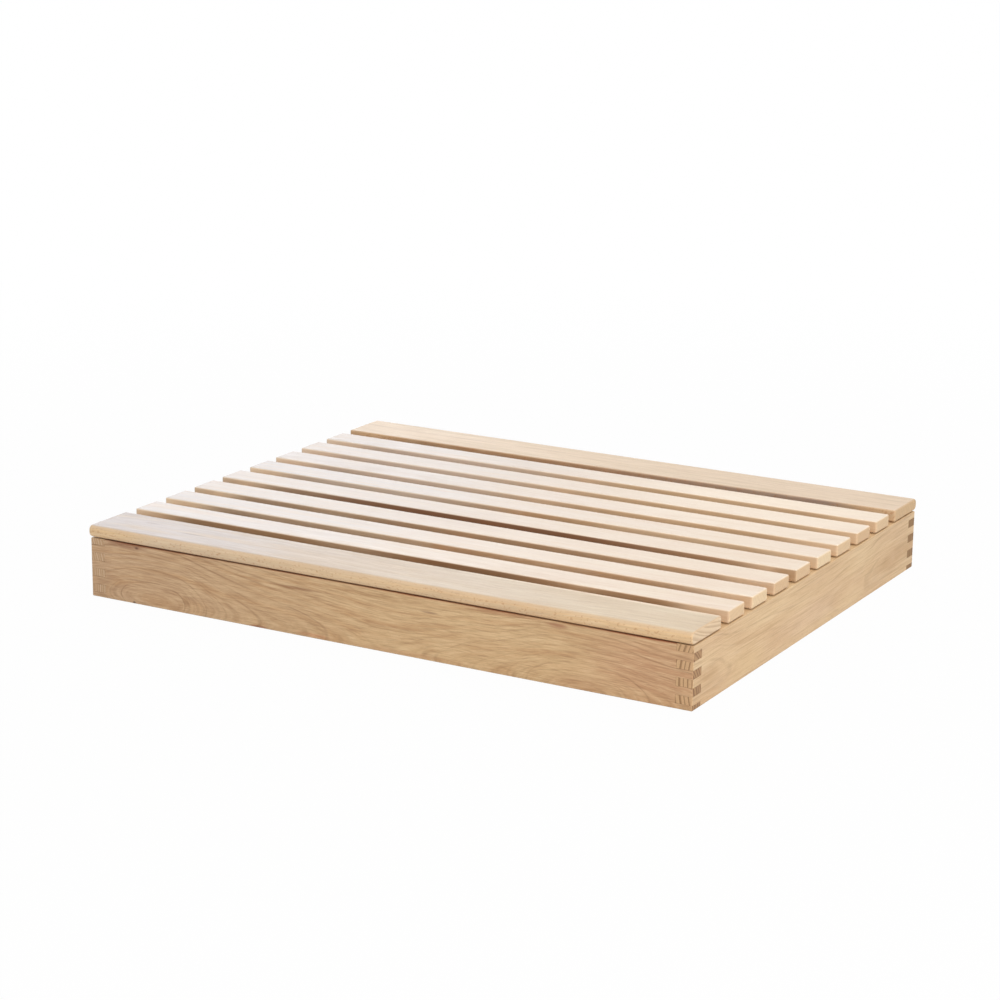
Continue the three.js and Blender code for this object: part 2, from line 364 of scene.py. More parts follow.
def plain(piece):
    """Turns an object and its modifiers into one plain mesh."""
    depsgraph = bpy.context.evaluated_depsgraph_get()
    made = bpy.data.meshes.new_from_object(
        piece.evaluated_get(depsgraph), preserve_all_data_layers=True, depsgraph=depsgraph
    )
    piece.modifiers.clear()
    piece.data = made
    return made


def grown(tree, start, values):
    """The plain mesh that a Geometry Nodes tree makes from a starting mesh and its named inputs."""
    carrier = in_scene(tree.name, start)
    modifier = carrier.modifiers.new(tree.name, "NODES")
    modifier.node_group = tree
    for socket in tree.interface.items_tree:
        if socket.in_out == "INPUT" and socket.name in values:
            modifier[socket.identifier] = values[socket.name]
    mesh = plain(carrier)
    bpy.data.objects.remove(carrier)
    return mesh


def mesh_of(name, points, faces, material=None):
    """A mesh from points and faces, with its finish where one is given."""
    mesh = bpy.data.meshes.new(name)
    mesh.from_pydata(points, [], faces)
    mesh.validate()
    if material:
        mesh.materials.append(material)
    return mesh


def slat_section(width, thickness, radii, inset):
    """Outline of a slat in Y and Z, drawn in from its faces by inset. radii are those of the edges at
    the bottom right, top right, top left and bottom left, and shrink as the outline draws in."""
    outline = []
    for turn, radius in enumerate(radii):
        across = (1, 1, -1, -1)[turn] * (width / 2 - inset)
        up = (-1, 1, 1, -1)[turn] * (thickness / 2 - inset)
        small = max(radius - inset, SLAT_END_RADIUS)
        for step in range(QUARTER_STEPS + 1):
            angle = math.radians(90 * (turn - 1) + 90 * step / QUARTER_STEPS)
            y = across - math.copysign(small, across) + small * math.cos(angle)
            z = up - math.copysign(small, up) + small * math.sin(angle)
            outline.append((y, z))
    return outline


def slat_mesh(name, width, outer_radius, length, place, material=None):
    """A slat lofted along X, with its ends rounded over. The outer edges are the two on the -Y side."""
    thickness = SLAT_TOP - SLAT_BOTTOM
    radii = (SLAT_EDGE_RADIUS, SLAT_EDGE_RADIUS, outer_radius, outer_radius)
    rings = []
    for step in range(QUARTER_STEPS + 1):
        angle = math.radians(90 * step / QUARTER_STEPS)
        x = length / 2 - SLAT_END_EASING * (1 - math.sin(angle))
        inset = SLAT_END_EASING * (1 - math.cos(angle)) * SLAT_END_SHARE
        rings += [(-x, inset), (x, inset)]
    points = []
    for x, inset in sorted(rings):
        section = slat_section(width, thickness, radii, inset)
        points += [(x + place[0], y + place[1], z + place[2]) for y, z in section]
    count = len(points) // len(rings)
    faces = [list(range(count))[::-1], list(range(len(points) - count, len(points)))]
    for ring in range(len(rings) - 1):
        start = ring * count
        for here in range(count):
            after = (here + 1) % count
            faces.append((start + here, start + after, start + count + after, start + count + here))
    return mesh_of(name, points, faces, material)


def screw_mesh():
    """A countersunk wood screw that points up from its head, turned with a helical thread."""
    head, shank, root = SCREW_HEAD_RADIUS, SCREW_SHANK_RADIUS, 1.05
    neck, cone_end = shank * 0.95, SCREW_HEAD_RIM + head - shank
    thread_start, thread_pitch, ridge_share = 4.4, 1.3, 0.3
    tip, taper_length, eased_rim = 0.4, 3.2, 0.06
    around, rows_a_turn = 14, 5
    rows = [(0.0, head * 0.97), (eased_rim, head), (SCREW_HEAD_RIM, head)]
    rows += [(cone_end, neck), (thread_start - tip, neck)]
    z = thread_start
    while z < SCREW_LENGTH - tip:
        rows.append((z, None))
        z += thread_pitch / rows_a_turn
    points = [(0, 0, 0)]
    for z, radius in rows:
        for step in range(around):
            angle = 2 * math.pi * step / around
            r = radius
            if r is None:
                phase = (z / thread_pitch - step / around) % 1
                ridge = max(0.0, 1 - abs(phase - 0.5) / ridge_share)
                taper = min(1.0, (SCREW_LENGTH - z) / taper_length)
                r = (root + (shank - root) * ridge) * taper
            points.append((r * math.cos(angle), r * math.sin(angle), z))
    points.append((0, 0, SCREW_LENGTH))
    faces = []
    for step in range(around):
        after = (step + 1) % around
        faces.append((0, 1 + after, 1 + step))
        for row in range(len(rows) - 1):
            low, high = 1 + row * around, 1 + (row + 1) * around
            faces.append((low + step, low + after, high + after, high + step))
        last = 1 + (len(rows) - 1) * around
        faces.append((last + step, last + after, len(points) - 1))
    return mesh_of("wood_screw", points, faces)


# Finishes

# The size of the grain's wander, and the way from one narrow slat to the next in the tree that they are
# all cut from, in millimetres
WANDER_SIZE = (90, 30, 30)
NEXT_SLAT_IN_TREE = (517, 0, 0)
# The most years by which a ring comes late, and the least share of it that shows
YEARS_ASTRAY, LEAST_RING = 1.6, 0.3
# A dark ring is full within its core and gone at its edge, in millimetres from its middle, and where
# the face cuts it lower than the least slope it is drawn as if cut there
DARK_RING_CORE, DARK_RING_EDGE, LEAST_SLOPE = 0.1, 0.75, 0.3
TRUNK_FLATTENING = 0.65
# How far a bloom's outline strays, in millimetres, and the share of its reach within which it is full
BLOOM_STRAY, BLOOM_CORE = (10.0, 2.4, 0.0), 0.2


def cleared(finish):
    """A material or world without its first nodes, and the function that adds a node to it."""
    finish.use_nodes = True
    finish.node_tree.nodes.clear()
    return finish, functools.partial(add_node, finish.node_tree)


def end_material(add, relief, bump, surface):
    """Ends a material: a relief, with its strength and its depth in millimetres, and the surface."""
    strength, depth = bump
    normal = add("ShaderNodeBump", {}, {"Strength": strength, "Distance": depth * MM, "Height": relief})
    shader = add("ShaderNodeBsdfPrincipled", {}, {"Normal": normal, **surface})
    add("ShaderNodeOutputMaterial", {}, {"Surface": shader})


def set_ramp(ramp, end_level, stops):
    """Grey levels of a colour ramp, at both of its ends and at stops between."""
    elements = ramp.color_ramp.elements
    for end, position in zip(elements, (0.0, 1.0)):
        end.position, end.color = position, (end_level, end_level, end_level, 1)
    for position, level in stops:
        elements.new(position).color = (level, level, level, 1)


def beech(name, board, tones, pith, look, blooms=(), late_blooms=(), per_slat=False):
    """Solid beech, planed, sanded and thinly oiled.

    It gives the eye yearly rings seen as soft arches and lines on the long faces and as close dark
    stripes on the cut ends, fine lines that follow them, short darker ray flecks along the grain, and
    slow changes of tone. It also paints light and shade into the colour: upright faces take tones of
    their own, partly the wood's other face and partly painted shade; the cool tone darkens one end of a
    board as painted shade; rounded edges that face up take painted light, a highlight on the narrow
    slats and shade on the wide ones; and some blooms are painted shade and highlights.

    board turns metres on the object into millimetres on the board: axes names the object's axes that
    run along the grain, across the face and into the wood, signs their directions, origin the point
    that becomes zero. pith gives where the middle of the trunk runs, as pairs of place along the board
    and millimetres: its height across the face, its depth behind the face, and how clearly the rings
    show there, and rings gives the radius and strength of those drawn dark. A bloom is a patch with a
    tone of its own: its centre, its reach, its colour, its amount. Late blooms lie over the grain, and
    on the narrow slats only on their upright faces.
    """
    material, add = cleared(bpy.data.materials.new(name))

    # The object's place and facing, turned into the board's own directions
    coordinates = add("ShaderNodeTexCoord", {}, {})
    split = add(SEPARATE, {}, [coordinates.outputs["Object"]])
    facing = add(SEPARATE, {}, [coordinates.outputs["Normal"]])
    turned = add(COMBINE, {}, {
        direction: split.outputs[axis] for direction, axis in enumerate(board["axes"])
    })
    place = add("ShaderNodeMapping", {}, {
        "Vector": turned, "Location": tuple(-s * o for s, o in zip(board["signs"], board["origin"])),
        "Scale": tuple(sign / MM for sign in board["signs"]),
    })
    own_place = place
    if per_slat:
        number = add("ShaderNodeAttribute", {"attribute_name": "slat_number"}, {}).outputs["Fac"]
        middle = add("ShaderNodeAttribute", {"attribute_name": "slat_middle"}, {}).outputs["Fac"]
        across = add(COMBINE, {}, {1: middle})
        centred = add(VECTOR_MATH, SUBTRACT, [place, across])
        stride = add(VECTOR_MATH, SCALE, {0: NEXT_SLAT_IN_TREE, "Scale": number})
        own_place = add(VECTOR_MATH, ADD, [centred, stride])
        chance = add("ShaderNodeTexWhiteNoise", ONE_WAY, [number]).outputs["Value"]

    # Slow wander of the grain
    wander_place = add(VECTOR_MATH, DIVIDE, [own_place, WANDER_SIZE])
    wander = add(NOISE, {}, {
        "Vector": wander_place, "Scale": 1.0, "Detail": 2.0, "Roughness": 0.45,
    })
    swing = add(VECTOR_MATH, SUBTRACT, [wander.outputs["Color"], (0.5, 0.5, 0.5)])
    drift = add(VECTOR_MATH, MULTIPLY, [swing, (0.0, look["wander"], look["wander"])])
    grain = add(VECTOR_MATH, ADD, [own_place, drift])
    grain_parts = add(SEPARATE, {}, [grain])

    half = board["half_length"]
    station = add(MAP_RANGE, {}, {
        "Value": add(SEPARATE, {}, [place]).outputs["X"],
        "From Min": -half, "From Max": half,
    })

    def along(pairs):
        """A value that follows pairs of place along the board and value."""
        lowest = min(value for _, value in pairs)
        span = max(value for _, value in pairs) - lowest or 1.0
        curve = add("ShaderNodeFloatCurve", {}, {"Value": station})
        line = curve.mapping.curves[0]
        stops = [((u + half) / (2 * half), (value - lowest) / span) for u, value in pairs]
        line.points[0].location, line.points[-1].location = stops[0], stops[-1]
        for stop in stops[1:-1]:
            line.points.new(*stop)
        curve.mapping.update()
        return add(MATH, MULTIPLY_ADD, [curve, span, lowest])

    # Distance from the middle of the trunk, which gives the yearly rings
    depth = add(MATH, ADD, [along(pith["depth"]), grain_parts.outputs["Z"]])
    side = add(MATH, SUBTRACT, [grain_parts.outputs["Y"], along(pith["height"])])
    if per_slat:
        shifted = add(MAP_RANGE, {}, {
            "Value": chance, "To Min": -pith["spread"], "To Max": pith["spread"],
        })
        side = add(MATH, ADD, [side, shifted])
    spoke = add(COMBINE, {}, [side, depth])
    radius = add(VECTOR_MATH, LENGTH, [spoke]).outputs["Value"]
    angle = add(MATH, {"operation": "ARCTAN2"}, [side, depth])
    arc = add(MATH, MULTIPLY, [angle, radius])
    trunk = add(COMBINE, {}, [grain_parts.outputs["X"], arc, radius])
    year = add(MATH, DIVIDE, [radius, look["ring"]])
    uneven = add(NOISE, ONE_WAY, {"W": year, "Scale": 0.45, "Detail": 1.0})
    years = add(MATH, MULTIPLY_ADD, [uneven, YEARS_ASTRAY, year])
    season = add(MATH, {"operation": "FRACT"}, [years])
    latewood = add("ShaderNodeValToRGB", {}, [season])
    set_ramp(latewood, 0.1, ((0.07, 0.0), (0.5, 0.1), (0.72, 0.4), (0.86, 1.0), (0.95, 0.85)))
    which = add(MATH, {"operation": "FLOOR"}, [years])
    strong_year = add("ShaderNodeTexWhiteNoise", ONE_WAY, [which]).outputs["Value"]
    vigour = add(MAP_RANGE, {}, {"Value": strong_year, "To Min": 0.2, "To Max": 1.0})

    # A trunk flattened from front to back, so that what is drawn in it half follows the rings
    eased_depth = add(MATH, MULTIPLY, [depth, TRUNK_FLATTENING])
    eased_spoke = add(COMBINE, {}, [side, eased_depth])
    eased_radius = add(VECTOR_MATH, LENGTH, [eased_spoke]).outputs["Value"]
    eased_trunk = add(COMBINE, {}, [grain_parts.outputs["X"], arc, eased_radius])

    # Each pattern: the place it is drawn in, its size in millimetres along the grain and in the other two
    # directions, its detail and its roughness. Real ray flecks are 0.2 mm wide, and are drawn coarser
    # so that they show.
    patterns = {}
    for pattern, where, size, detail, rough in (
        ("breaks", trunk, (22, 12, 5), 2.0, 0.5),
        ("lines", eased_trunk, (26, 9, 0.6), 3.0, 0.6),
        ("streaks", eased_trunk, (70, 18, 3.0), 2.0, 0.55),
        ("fibres", grain, (look["fibre_length"], 0.75, 0.75), 3.0, 0.6),
        ("clouds", own_place, (60, 20, 20), 2.0, 0.5),
        ("flecks", trunk, (1.8, 0.7, 1.1), 1.0, 0.4),
        ("pores", own_place, (4.0, 0.7, 0.7), 2.0, 0.6),
    ):
        in_its_size = add(VECTOR_MATH, DIVIDE, [where, size])
        patterns[pattern] = add(NOISE, {}, {
            "Vector": in_its_size, "Scale": 1.0, "Detail": detail, "Roughness": rough,
        })

    # How square to the object each place of the surface stands, whichever way it faces
    end_on = add(MATH, ABSOLUTE, [facing.outputs[board["axes"][0]]])
    square = add(VECTOR_MATH, ABSOLUTE, [coordinates.outputs["Normal"]])
    square_parts = add(SEPARATE, {}, [square]).outputs
    larger = add(MATH, MAXIMUM, [square_parts[0], square_parts[1]])
    largest = add(MATH, MAXIMUM, [larger, square_parts[2]])

    # Each level: what it comes from, the values at which it is none and full, and how much full is
    levels = {}
    for level, source, none_at, full_at, full in (
        ("breaks", patterns["breaks"], 0.34, 0.6, 1.0),
        ("clouds", patterns["clouds"], 0.3, 0.7, 1.0),
        ("streaks", patterns["streaks"], 0.42, 0.72, look["streaks"]),
        ("dark_lines", patterns["lines"], 0.46, 0.74, look["lines"]),
        ("bright_lines", patterns["lines"], 0.5, 0.24, look["lines"]),
        ("dark_fibres", patterns["fibres"], 0.46, 0.74, look["fibres"]),
        ("bright_fibres", patterns["fibres"], 0.5, 0.24, look["fibres"]),
        ("flecks", patterns["flecks"], 0.57, 0.73, 1.0),
        ("pores", patterns["pores"], 0.45, 0.75, look["pores"]),
        ("past_heart", radius, pith["heart"] - 2, pith["heart"], 1.0),
        ("end_stripes", season, *look["end_late"], look["end_rings"]),
        ("end_grain", end_on, *look["end_from"], 1.0),
        ("upright", square_parts[2], *reversed(look["side_from"]), 1.0),
        # Rounded edges, which take painted light where they face up
        ("eased", largest, 0.985, 0.86, look["edge"]),
        ("facing_up", facing.outputs[2], 0.25, 0.6, 1.0),
    ):
        levels[level] = add(MAP_RANGE, SMOOTH, {
            "Value": source, "From Min": none_at, "From Max": full_at, "To Max": full,
        })
    patchy = add(MATH, MULTIPLY_ADD, [levels["breaks"], 1 - LEAST_RING, LEAST_RING])
    clear = along(pith["clear"])

    # The rings drawn dark stay thin where the face cuts them at a low angle
    leaning = add(MATH, ABSOLUTE, [side])
    slope = add(MATH, DIVIDE, [leaning, radius])
    steep = add(MATH, MAXIMUM, [slope, LEAST_SLOPE])
    dark_rings = 0.0
    for ring_radius, strength in pith["rings"]:
        off = add(MATH, SUBTRACT, [radius, ring_radius])
        away = add(MATH, ABSOLUTE, [off])
        gap = add(MATH, DIVIDE, [away, steep])
        line = add(MAP_RANGE, SMOOTH, {
            "Value": gap, "From Min": DARK_RING_EDGE, "From Max": DARK_RING_CORE, "To Max": strength,
        })
        dark_rings = add(MATH, MAXIMUM, [dark_rings, line])

    def layered(colour, layers):
        """A colour with layers over it, each a tone and the factors that make up how much it covers."""
        for tone, *factors in layers:
            cover = factors[0]
            for factor in factors[1:]:
                cover = add(MATH, MULTIPLY, [cover, factor])
            above = linear(tone) if isinstance(tone, str) else tone
            colour = add(MIX, COLOURS, {"Factor": cover, "A": colour, "B": above})
        return colour

    bloom_swing = add(VECTOR_MATH, MULTIPLY, [swing, BLOOM_STRAY])
    bloom_place = add(VECTOR_MATH, ADD, [place, bloom_swing])

    def bloomed(colour, blooms, *where):
        """A colour with blooms over it, as far as the factors in where let them show."""
        for centre, reach, tone, amount in blooms:
            away = add(VECTOR_MATH, SUBTRACT, [bloom_place, centre])
            in_its_reach = add(VECTOR_MATH, DIVIDE, [away, reach])
            distance = add(VECTOR_MATH, LENGTH, [in_its_reach]).outputs["Value"]
            near = add(MAP_RANGE, SMOOTH, {
                "Value": distance, "From Min": 1.0, "From Max": BLOOM_CORE, "To Max": amount,
            })
            colour = layered(colour, [(tone, near, *where)])
        return colour

    # Colour, from the slowest change to the finest
    # The cool tone is painted shade: it darkens and greys the board toward one end, where less light falls.
    # side_cool does the same on the upright faces.
    painted_shade_along = along(look["cool"])
    base = layered(linear(tones["pale"]), [(tones["mid"], levels["clouds"]), (tones["cool"], painted_shade_along)])
    # The upright faces take tones of their own: partly the look of the wood's other face, and partly painted
    # shade and sheen, darker in the gaps between the slats and on the wide slats' noses, paler on the tops
    if "side" in tones:
        sides = layered(linear(tones["side"]), [
            (tones["side_dark"], levels["clouds"]), (tones["side_cool"], painted_shade_along),
            # Painted light: the upright faces grow paler near the ends of the slats, where light reaches into
            # the gaps
            (tones["side_end"], along(look["side_ends"])),
        ])
        base = layered(base, [(sides, levels["upright"])])
    colour = layered(base, [(tones["warm"], levels["streaks"])])
    if per_slat:
        colour = layered(colour, [(tones["warm"], chance, look["slat_change"])])
    colour = bloomed(colour, blooms)
    flecks_shown = add(MAP_RANGE, {}, {
        "Value": levels["upright"], "To Min": look["flecks"], "To Max": look["side_flecks"],
    })
    colour = layered(colour, [
        (tones["late"], latewood, vigour, patchy, clear, levels["past_heart"], look["rings"]),
        (tones["late"], dark_rings, patchy, clear, look["dark_rings"]),
        (tones["late"], levels["dark_lines"]), (tones["bright"], levels["bright_lines"]),
        (tones["late"], levels["dark_fibres"]), (tones["bright"], levels["bright_fibres"]),
        (tones["fleck"], levels["flecks"], flecks_shown),
    ])
    colour = bloomed(colour, late_blooms, *([levels["upright"]] if per_slat else []))
    end_colour = linear(tones["end"])
    if per_slat:
        end_colour = layered(end_colour, [(tones["end_dark"], chance)])
    end_colour = layered(end_colour, [
        (tones["end_ring"], levels["end_stripes"]), (tones["end_ring"], levels["pores"]),
    ])
    # Rounded edges that face up take the rim tone as painted light: a painted highlight on the narrow slats,
    # painted shade on the wide slats
    colour = layered(colour, [
        (end_colour, levels["end_grain"]), (tones["rim"], levels["eased"], levels["facing_up"]),
    ])

    # Duller end grain, and a relief a few hundredths of a millimetre deep, lower in late wood and flecks
    rough_grain = add(MAP_RANGE, {}, {
        "Value": patterns["lines"], "From Min": 0.3, "From Max": 0.7,
        "To Min": look["roughness"] - 0.06, "To Max": look["roughness"] + 0.08,
    })
    roughness = add(MATH, MULTIPLY_ADD, [levels["end_grain"], 0.15, rough_grain])
    ring_relief = add(MATH, MULTIPLY_ADD, [latewood, -0.2, patterns["fibres"]])
    relief = add(MATH, MULTIPLY_ADD, [levels["flecks"], -0.4, ring_relief])
    end_material(add, relief, (0.6, 0.04), {"Base Color": colour, "Roughness": roughness, "IOR": 1.5})
    return material


def place_in_millimetres(add):
    """The place on the object, in millimetres."""
    coordinates = add("ShaderNodeTexCoord", {}, {})
    return add(VECTOR_MATH, SCALE, {0: coordinates.outputs["Object"], "Scale": 1 / MM})


def beech_plywood():
    """Rotary-cut beech plywood, sanded: wide lazy figure with no strong rings, and close short flecks."""
    material, add = cleared(bpy.data.materials.new("beech_plywood_sanded"))

    # Bands some 160 by 60 mm, and flecks of 30 by 0.7 mm
    place = place_in_millimetres(add)
    warp_place = add(VECTOR_MATH, MULTIPLY, [place, (1 / 160, 1 / 60, 0)])
    warp = add(NOISE, {}, {"Vector": warp_place, "Scale": 1.0, "Detail": 2.0})
    bands = add(MATH, MULTIPLY, [warp, 9.0])
    season = add(MATH, {"operation": "FRACT"}, [bands])
    band = add("ShaderNodeValToRGB", {}, [season])
    set_ramp(band, 0.15, ((0.12, 0.0), (0.5, 0.2), (0.8, 0.8), (0.9, 1.0)))
    fibre_place = add(VECTOR_MATH, MULTIPLY, [place, (1 / 30, 1 / 0.7, 1 / 0.7)])
    fibres = add(NOISE, {}, {"Vector": fibre_place, "Scale": 1.0, "Detail": 3.0})
    veneer = add(MIX, COLOURS, {"Factor": band, "A": linear("#E0C9A2"), "B": linear("#CDB087")})
    shade = add(MAP_RANGE, {}, {"Value": fibres, "From Min": 0.5, "From Max": 0.8, "To Max": 0.35})
    colour = add(MIX, COLOURS, {"Factor": shade, "A": veneer, "B": linear("#A97F55")})
    roughness = add(MAP_RANGE, {}, {"Value": fibres, "To Min": 0.55, "To Max": 0.75})
    end_material(add, fibres, (0.5, 0.04), {"Base Color": colour, "Roughness": roughness, "IOR": 1.5})
    return material


def zinc_plated_steel():
    """Bright zinc-plated steel: a cool grey metal with a faintly uneven, slightly dull plating."""
    material, add = cleared(bpy.data.materials.new("zinc_plated_steel"))
    place = place_in_millimetres(add)
    plating = add(NOISE, {}, {"Vector": place, "Scale": 0.7, "Detail": 3.0})
    colour = add(MIX, COLOURS, {"Factor": plating, "A": linear("#C9CBCE"), "B": linear("#A4A7AA")})
    roughness = add(MAP_RANGE, {}, {"Value": plating, "To Min": 0.25, "To Max": 0.45})
    end_material(add, plating, (0.3, 0.02), {"Base Color": colour, "Roughness": roughness, "Metallic": 1.0})
    return material


# The tones of each board, and how its patterns show. cool and side_ends are pairs of place along the
# board and amount, end_from, side_from and end_late the values between which a level comes in, ring and
# fibre_length are in millimetres, and the rest are shares. Some tones are painted light and shade: cool
# darkens one end, side and its kin darken the upright faces in part, side_end lightens the slats' ends in
# their gaps, and rim, by the share edge, lightens the upward rounded edges of the narrow slats and
# darkens those of the wide ones.

WALL_TONES = dict(
    pale="#D2B388", mid="#CAAA80", cool="#C09F7E", warm="#BD9469", late="#8C6643",
    bright="#E2C8A0", fleck="#A4774F", end="#C5A179", end_ring="#7A5634", rim="#D8B88E",
)
RIGHT_TONES = dict(
    WALL_TONES, pale="#DCBF95", mid="#D4B48C", cool="#CFAA80", warm="#CBA478", late="#9A7450",
    bright="#E8CEA8",
)
FRONT_TONES = dict(WALL_TONES, end="#AC8862", end_ring="#7A5638")
BACK_TONES = dict(WALL_TONES, end="#9A7850", end_ring="#6E4E30")
LEFT_TONES = dict(RIGHT_TONES, end="#B2906E", end_ring="#DCC8AC")
SLAT_TONES = dict(
    pale="#ECDDCB", mid="#E8D6C4", cool="#D2CCC8", warm="#E0CAB0", late="#BFA68E",
    bright="#F6ECDF", fleck="#C6A486", end="#E8D0AC", end_ring="#BF9F7A", end_dark="#D4B28C",
    rim="#F0E2CE", side="#C89D72", side_dark="#BA8D62", side_cool="#A68A70", side_end="#E4CCAE",
)
WIDE_TONES = dict(
    pale="#D6C4A8", mid="#D1BC9F", cool="#C1B7B1", warm="#C9B292", late="#A08C7A",
    bright="#E6D8C2", fleck="#B07A54", end="#D6BE9A", end_ring="#A58E78", rim="#CDB294",
    side="#DDBC8F", side_dark="#D5B185", side_cool="#D3BA9A", side_end="#DDBC8F",
)
WALL_LOOK = dict(
    wander=3.0, ring=2.6, rings=0.3, dark_rings=0.8, lines=0.36, streaks=0.7, fibres=0.38,
    flecks=0.15, side_flecks=0.15, end_rings=0.85, end_late=(0.45, 0.7), pores=0.2, edge=0.0,
    fibre_length=11, roughness=0.5, end_from=(0.6, 0.85), side_from=(0.35, 0.9),
    cool=[(-1, 0.0), (1, 0.0)],
    # side_ends is painted light: paler upright faces near the slats' ends
    side_ends=[(-200, 1.0), (-186, 0.9), (-172, 0.65), (-160, 0.2), (-150, 0.0), (150, 0.0), (160, 0.12),
               (166, 0.3), (175, 0.55), (184, 0.6), (190, 0.5), (200, 0.3)],
)
# In SLAT_LOOK and WIDE_LOOK, cool is painted shade toward one end, and edge is how much painted light the
# upward rounded edges take
SLAT_LOOK = dict(
    WALL_LOOK, rings=0.12, dark_rings=0.1, lines=0.16, streaks=0.35, fibres=0.13, flecks=0.12, edge=0.3,
    slat_change=0.2, end_rings=0.15,
    cool=[(-200, 1.0), (-110, 0.85), (-60, 0.75), (0, 0.4), (120, 0.1), (200, 0.0)],
)
WIDE_LOOK = dict(
    WALL_LOOK, ring=1.85, rings=0.2, dark_rings=0.3, lines=0.22, streaks=0.5, fibres=0.18, flecks=0.15,
    side_flecks=0.48, edge=0.5, end_rings=0.12, side_from=(0.75, 0.985),
    cool=[(-200, 1.0), (-110, 0.9), (-60, 0.7), (0, 0.4), (120, 0.1), (200, 0.0)],
)
PLAIN = [(-200, 1.0), (200, 1.0)]

# How each kind of board lies in the object, where it was cut from its tree, and its blooms, in the
# board's millimetres

HALF_LENGTH, HALF_DEPTH = TRAY_LENGTH / 2, TRAY_DEPTH / 2
LONG_WALL = dict(axes=(0, 2, 1), half_length=HALF_LENGTH)
END_WALL = dict(axes=(1, 2, 0), half_length=HALF_DEPTH)
SLAT = dict(axes=(0, 1, 2), half_length=HALF_LENGTH)
CLEAT = dict(axes=(1, 0, 2), half_length=HALF_DEPTH)
FRONT_PITH = dict(
    height=[(-200, 6), (-150, 5), (-80, 4), (-20, 2), (40, 0), (200, 0)],
    depth=[(-200, 20), (-186, 17), (-178, 14.7), (-170, 12.4), (-162, 11), (-153, 10.5), (-143, 11.6),
           (-136, 12.8), (-130, 15), (-122, 18.4), (-114, 21), (-102, 24), (-77, 28), (-50, 31), (-20, 34),
           (10, 36), (40, 33), (64, 28.4), (81, 26), (92, 23.4), (105, 19), (119, 15.6), (133, 14),
           (147, 14.6), (159, 16.6), (175, 21), (189, 23.5), (200, 25)],
    clear=[(-200, 0.7), (-160, 1.0), (-90, 0.95), (-40, 0.6), (10, 0.4), (70, 0.5), (100, 0.5),
           (130, 0.45), (165, 0.8), (200, 0.85)],
    heart=16,
    rings=[(14.6, 0.8), (16.8, 0.45), (20.9, 0.9), (24.6, 0.35), (28.0, 0.6), (29.8, 0.4), (32.7, 0.85),
           (36.0, 0.6), (38.3, 0.5), (42.0, 0.5), (45.0, 0.4)],
)
FRONT_BLOOMS = [
    ((-152, 7, 0), (27, 9, 6), "#B5906C", 0.5),
    ((-131, 7, 0), (4, 6, 6), "#A07A56", 0.5),
    ((-173, 35.3, 0), (20, 2.8, 6), "#8A5A40", 0.8),
    ((-168.7, 0.2, 0), (1.4, 1.4, 4), "#4A2E22", 0.9),
    ((-165.9, 34.7, 0), (2.0, 1.2, 4), "#5A3228", 0.9),
    ((-190, 12, 0), (10, 10, 6), "#A88668", 0.5),
    ((-52, 28, 0), (22, 1.5, 6), "#8A6040", 0.75),
    ((-40, 2, 0), (16, 1.6, 6), "#C07E58", 0.6),
    ((-79, 0.4, 0), (9, 1.4, 6), "#8A4A3C", 0.7),
    ((37, 28.2, 0), (9, 0.9, 6), "#7E5840", 0.7),
    ((0, 32, 0), (70, 2.5, 6), "#A88258", 0.4),
    ((20, 1.5, 0), (50, 2.2, 6), "#B88862", 0.45),
    ((84, 35.2, 0), (34, 1.6, 6), "#A06C48", 0.6),
    ((117, 34.0, 0), (10, 2.2, 6), "#9A6448", 0.7),
    ((133, 2.0, 0), (29, 9, 6), "#B78E68", 0.75),
    ((172, 1, 0), (16, 2.6, 6), "#B08458", 0.5),
    ((178, 20, 0), (62, 34, 6), "#BC8E6E", 0.6),
]
front_board_beech = beech(
    "beech_front_board", dict(LONG_WALL, signs=(1, 1, 1), origin=(0, 0, -HALF_DEPTH)),
    FRONT_TONES, FRONT_PITH,
    # The front board's cool list is painted shade, darker toward its left end
    dict(WALL_LOOK, end_rings=0.7, cool=[(-200, 1.0), (-140, 0.8), (-60, 0.4), (40, 0.0), (200, 0.0)]),
    # The late bloom is painted shade: a dark strip along the top of the wall, under the front slat's overhang
    FRONT_BLOOMS, [((0, 37.2, 0), (900, 1.6, 4), "#8C3C10", 1.0)],
)
back_board_beech = beech(
    "beech_back_board", dict(LONG_WALL, signs=(-1, 1, -1), origin=(0, 0, HALF_DEPTH)), BACK_TONES,
    dict(height=[(-200, 14), (0, 8), (200, 16)], clear=[(-200, 0.8), (0, 0.5), (200, 0.9)], heart=16,
         depth=[(-200, 26), (-120, 22), (-40, 30), (50, 34), (130, 25), (200, 30)],
         rings=[(24, 0.6), (27, 0.5), (31, 0.8), (34, 0.5), (39, 0.6)]),
    dict(WALL_LOOK, end_rings=0.5),
)
